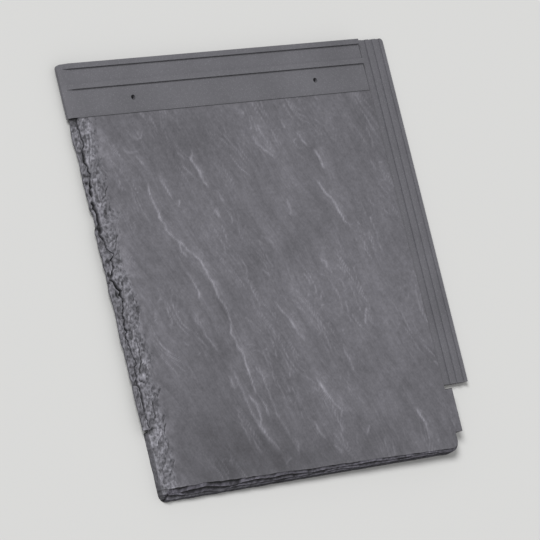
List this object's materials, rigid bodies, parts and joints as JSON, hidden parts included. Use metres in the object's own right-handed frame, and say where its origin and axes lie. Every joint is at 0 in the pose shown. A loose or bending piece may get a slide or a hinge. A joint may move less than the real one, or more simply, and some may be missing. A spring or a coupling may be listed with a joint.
{
  "type": "slate roof tile",
  "caption": "Flat interlocking roof tile with a riven slate face, dressed left and butt edges, a side lock, and nail holes in its head lap.",
  "frame": {"origin": "middle of the tile's bounding box, at the level of its underside", "axes": "+X right along the course, +Y up the roof from the butt to the head, +Z out of the face"},
  "size_m": [0.326, 0.336, 0.0115],
  "materials": {
    "slate_composite": "satin"
  },
  "bodies": {
    "root": {"slate_tile": "slate_composite"}
  },
  "joints": []
}
